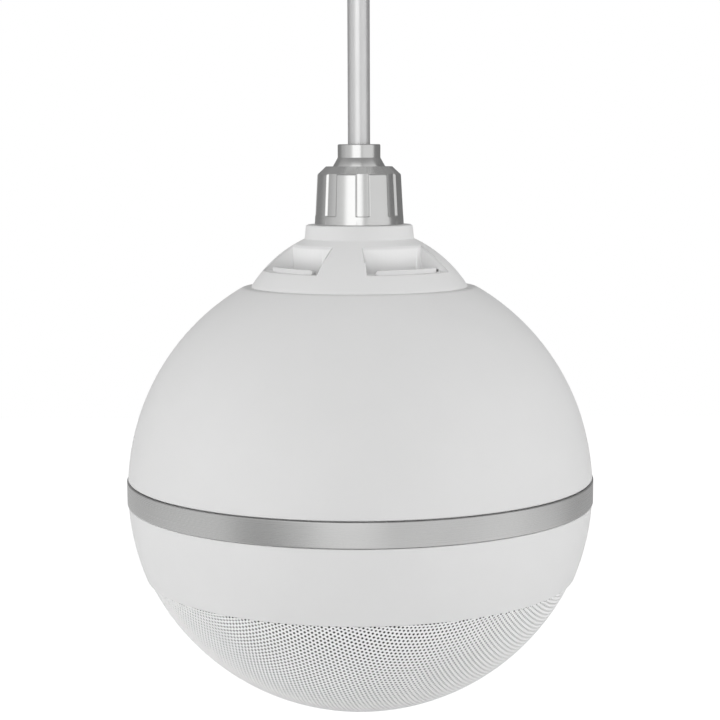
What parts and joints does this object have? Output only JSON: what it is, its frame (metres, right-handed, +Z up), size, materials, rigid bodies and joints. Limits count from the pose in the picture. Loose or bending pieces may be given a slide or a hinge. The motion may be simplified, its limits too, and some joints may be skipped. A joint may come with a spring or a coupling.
{
  "type": "ceiling speaker",
  "caption": "Ball-shaped pendant loudspeaker with a silver waist ring, a perforated lower dome and a windowed cap, hung on a grey cable from a ceiling rose.",
  "frame": {"origin": "middle of the ceiling rose's flat top face, where it meets the ceiling", "axes": "+Z up along the cable towards the ceiling, +X to the viewer's right and -Y towards the viewer; the terminal block is on the +Y side"},
  "size_m": [0.1956, 0.1956, 0.3439],
  "materials": {
    "white_plastic": "satin white moulded plastic",
    "white_paint": "white powder coat on perforated steel sheet",
    "silver": "satin anodised silver",
    "cable_grey": "smooth satin grey cable jacket",
    "rubber": "matt black rubber",
    "black_cloth": "thin black acoustic cloth",
    "steel": "zinc-plated steel",
    "black_paper": "matt black pressed paper",
    "ferrite": "dark grey ferrite",
    "copper": "enamelled copper wire",
    "board": "brown fibreboard",
    "spider_cloth": "resin-stiffened woven cloth",
    "nylon": "natural moulded nylon",
    "red_jacket": "red wire insulation",
    "black_jacket": "black wire insulation"
  },
  "bodies": {
    "root": {"ceiling_plate": "steel", "ceiling_cover": "white_plastic", "cover_screw_1": "steel", "cover_screw_2": "steel", "cord_grip": "white_plastic", "cord_grip_nut": "nylon", "cable_clamp": "steel", "suspension_cable": "cable_grey", "steel_core": "steel", "wire_stop": "steel", "gland_stem": "silver", "gland_collar": "silver", "cable_seal": "rubber", "gland_lock_nut": "steel", "top_cap": "white_plastic", "lock_ring": "white_plastic", "lock_ring_screw_1": "steel", "lock_ring_screw_2": "steel", "lock_ring_screw_3": "steel", "lock_ring_screw_4": "steel", "upper_shell": "white_plastic", "trim_ring": "silver", "shell_gasket": "rubber", "lower_shell": "white_plastic", "shell_screw_1": "steel", "shell_screw_2": "steel", "shell_screw_3": "steel", "grille": "white_paint", "grille_cloth": "black_cloth", "baffle": "board", "baffle_screw_1": "steel", "baffle_screw_2": "steel", "baffle_screw_3": "steel", "driver_basket": "steel", "driver_gasket": "rubber", "driver_screw_1": "steel", "driver_screw_2": "steel", "driver_screw_3": "steel", "driver_screw_4": "steel", "surround": "rubber", "cone": "black_paper", "dust_cap": "black_paper", "coil_former": "black_paper", "voice_coil": "copper", "spider": "spider_cloth", "front_plate": "steel", "magnet": "ferrite", "yoke": "steel", "transformer_core": "steel", "transformer_winding": "copper", "transformer_strap": "steel", "terminal_block": "nylon", "terminal_screw_1": "steel", "terminal_screw_2": "steel", "tag_strip": "board", "supply_lead_red": "red_jacket", "supply_lead_black": "black_jacket", "driver_lead_red": "red_jacket", "driver_lead_black": "black_jacket"}
  },
  "joints": []
}
